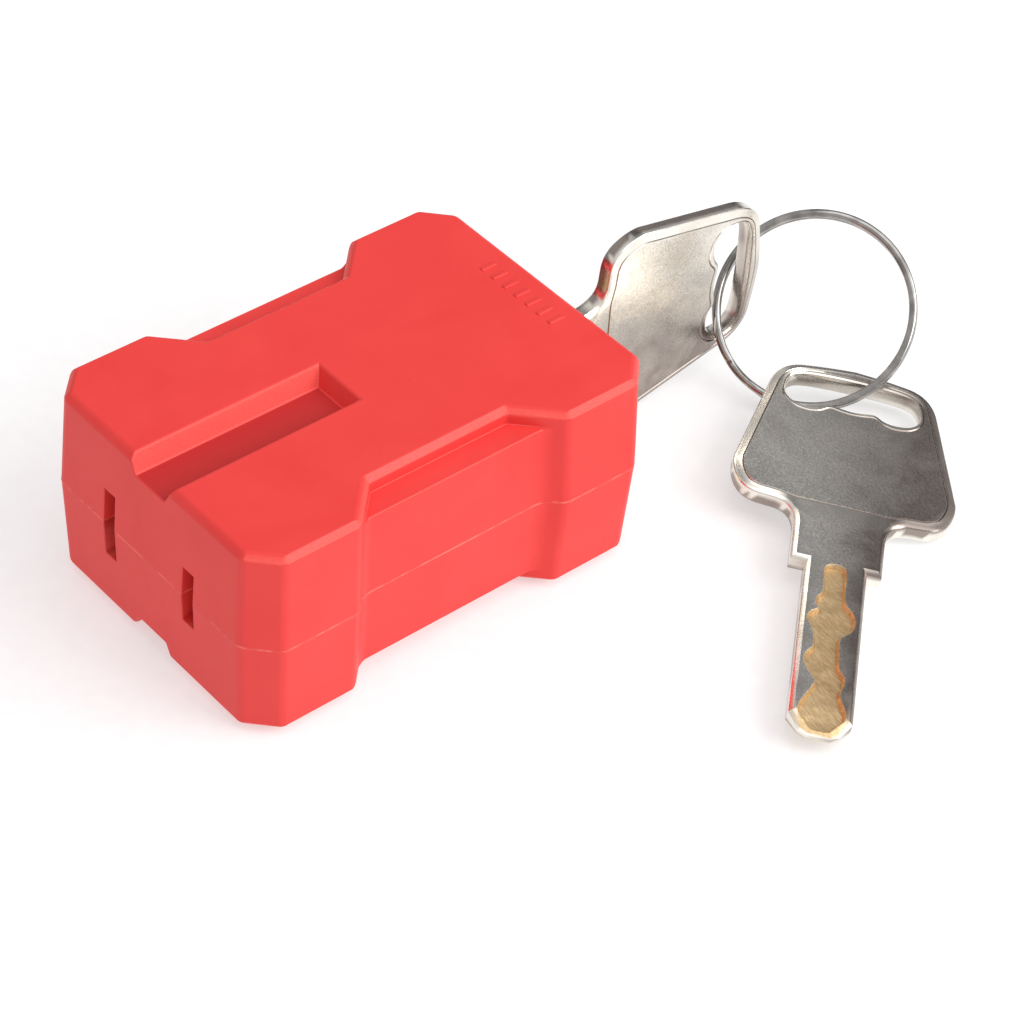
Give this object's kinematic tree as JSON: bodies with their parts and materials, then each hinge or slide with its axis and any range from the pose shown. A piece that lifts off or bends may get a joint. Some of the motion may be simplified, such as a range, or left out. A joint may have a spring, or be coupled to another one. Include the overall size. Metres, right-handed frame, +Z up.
{
  "type": "plug lock",
  "caption": "Key-operated lock block that slips over an electrical plug's blades and pins them, with its key, a spare key and a split ring.",
  "frame": {"origin": "centre of the block's base, on the flat underside of the lower shell", "axes": "+X along the lock axis towards the key, +Z up, +Y towards the wide (neutral) blade slot"},
  "size_m": [0.0921, 0.0688, 0.0239],
  "materials": {
    "red_plastic": "fine satin moulded grain",
    "zinc": "raw die-cast zinc",
    "brass": "machined",
    "spring_steel": "polished drawn wire",
    "hardened_steel": "ground and hardened",
    "nickel_plate": "bright nickel over cast texture"
  },
  "bodies": {
    "housing": {"upper_shell": "red_plastic", "lower_shell": "red_plastic", "cylinder_body": "zinc", "anti_drill_pin_1": "hardened_steel", "anti_drill_pin_2": "hardened_steel", "anti_drill_pin_3": "hardened_steel", "anti_drill_pin_4": "hardened_steel"},
    "rotor": {"rotor": "brass", "wafer_1": "brass", "wafer_2": "brass", "wafer_3": "brass", "wafer_4": "brass", "wafer_5": "brass", "wafer_6": "brass", "wafer_spring_1": "spring_steel", "wafer_spring_2": "spring_steel", "wafer_spring_3": "spring_steel", "wafer_spring_4": "spring_steel", "wafer_spring_5": "spring_steel", "wafer_spring_6": "spring_steel", "sidebar": "brass", "sidebar_spring_1": "spring_steel", "sidebar_spring_2": "spring_steel", "crank_disc": "zinc", "retaining_clip": "spring_steel"},
    "left_dog": {"left_locking_dog": "zinc", "left_locking_pin": "hardened_steel"},
    "right_dog": {"right_locking_dog": "zinc", "right_locking_pin": "hardened_steel"},
    "key": {"key_in_lock": "nickel_plate"},
    "ring": {"split_ring": "spring_steel"},
    "spare_key": {"spare_key": "nickel_plate"}
  },
  "joints": [
    {"name": "key_turn", "type": "hinge", "parent": "housing", "child": "rotor", "pos_m": [0, 0, 0.01125], "axis": [1, 0, 0], "range_deg": [0, 90]},
    {"name": "left_dog_slide", "type": "slide", "parent": "housing", "child": "left_dog", "axis": [0, 1, 0], "range_m": [0, 0.0028]},
    {"name": "right_dog_slide", "type": "slide", "parent": "housing", "child": "right_dog", "axis": [0, -1, 0], "range_m": [0, 0.0028]},
    {"name": "key_withdraw", "type": "slide", "parent": "rotor", "child": "key", "axis": [1, 0, 0], "range_m": [0, 0.025]},
    {"name": "ring_swing", "type": "hinge", "parent": "key", "child": "ring", "pos_m": [0.05035, 0, 0.00594], "axis": [1, 0, 0], "range_deg": [-90, 0]},
    {"name": "spare_key_slide", "type": "hinge", "parent": "ring", "child": "spare_key", "pos_m": [0.0576, -0.00743, 0.00792], "axis": [-0.5616, -0.3442, 0.7524], "range_deg": [0, 60]}
  ],
  "couplings": [
    {"joint": "left_dog_slide", "follows": "key_turn", "m_per_rad": 0.0017825},
    {"joint": "right_dog_slide", "follows": "key_turn", "m_per_rad": 0.0017825},
    {"joint": "ring_swing", "follows": "key_turn", "ratio": -1}
  ]
}
